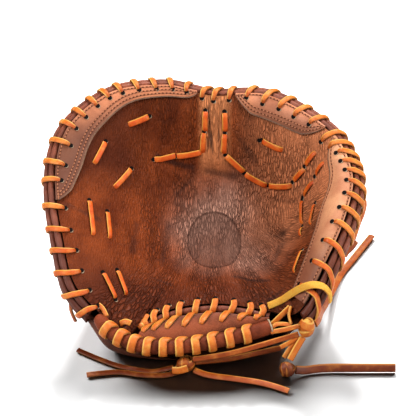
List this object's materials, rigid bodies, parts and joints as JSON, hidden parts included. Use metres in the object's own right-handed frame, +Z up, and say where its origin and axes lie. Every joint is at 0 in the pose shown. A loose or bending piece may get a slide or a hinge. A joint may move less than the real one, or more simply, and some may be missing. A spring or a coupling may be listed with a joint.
{
  "type": "catcher mitt",
  "caption": "Padded leather catcher's mitt lying on its back, deep round pocket up, laced rim rolls, rolled heel with knots and loose lace ends, hollow for the hand.",
  "frame": {"origin": "on the surface the mitt lies on, under the middle of the mitt's box without its loose lace ends", "axes": "+X from the finger side to the thumb side, +Y from the heel to the web end, +Z up out of the pocket"},
  "size_m": [0.2975, 0.2444, 0.1591],
  "materials": {
    "palm": "satin, soft leather with fine pebble and creases",
    "patch": "satin, thin smooth reinforcing leather",
    "binding": "satin, rolled edge leather",
    "heel_suede": "matt suede",
    "back": "satin leather",
    "lace": "satin rawhide lace"
  },
  "bodies": {
    "root": {"palm_shell": "palm", "back_shell": "back", "palm_binding": "binding", "rim_welt": "binding", "back_binding": "binding", "patch_finger": "patch", "patch_web": "patch", "patch_thumb": "patch", "heel_piping": "binding", "heel_roll": "binding", "heel_pad": "heel_suede", "thumb_knot": "lace", "heel_knot": "lace", "floor_knot": "lace", "tail_up": "lace", "tail_floor": "lace", "tail_front": "lace", "tail_left": "lace", "tail_left_short": "lace", "tail_raw": "lace", "tail_thumb": "lace", "run_upper": "lace", "run_lower": "lace", "knot_link": "lace"}
  },
  "joints": []
}
